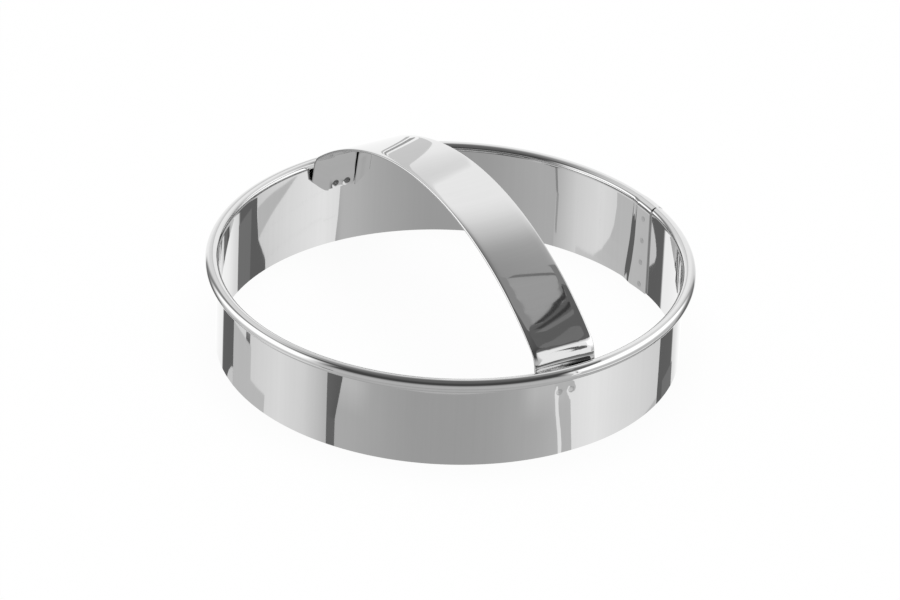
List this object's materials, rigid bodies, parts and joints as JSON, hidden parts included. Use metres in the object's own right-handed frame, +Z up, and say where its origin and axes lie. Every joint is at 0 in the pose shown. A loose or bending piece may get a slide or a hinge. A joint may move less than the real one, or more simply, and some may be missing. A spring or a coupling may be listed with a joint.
{
  "type": "round cookie cutter",
  "caption": "Round open steel cutter ring with a rolled rim, a lapped spot-welded seam and a hemmed strap handle arched across it for pressing rounds out of dough.",
  "frame": {"origin": "centre of the ring on the plane of its cutting edge", "axes": "+Z up along the ring's axis, +X towards the front foot of the strap handle, +Y towards the lapped seam"},
  "size_m": [0.1694, 0.1699, 0.0662],
  "materials": {
    "band_steel": "polished stainless sheet with faint rolling lines",
    "strap_steel": "polished stainless strip with faint long scratches",
    "weld_steel": "dull dark spot-weld marks"
  },
  "bodies": {
    "root": {"cutter_band": "band_steel", "handle_strap": "strap_steel", "front_foot_welds": "weld_steel", "rear_foot_welds": "weld_steel", "seam_welds": "weld_steel"}
  },
  "joints": []
}
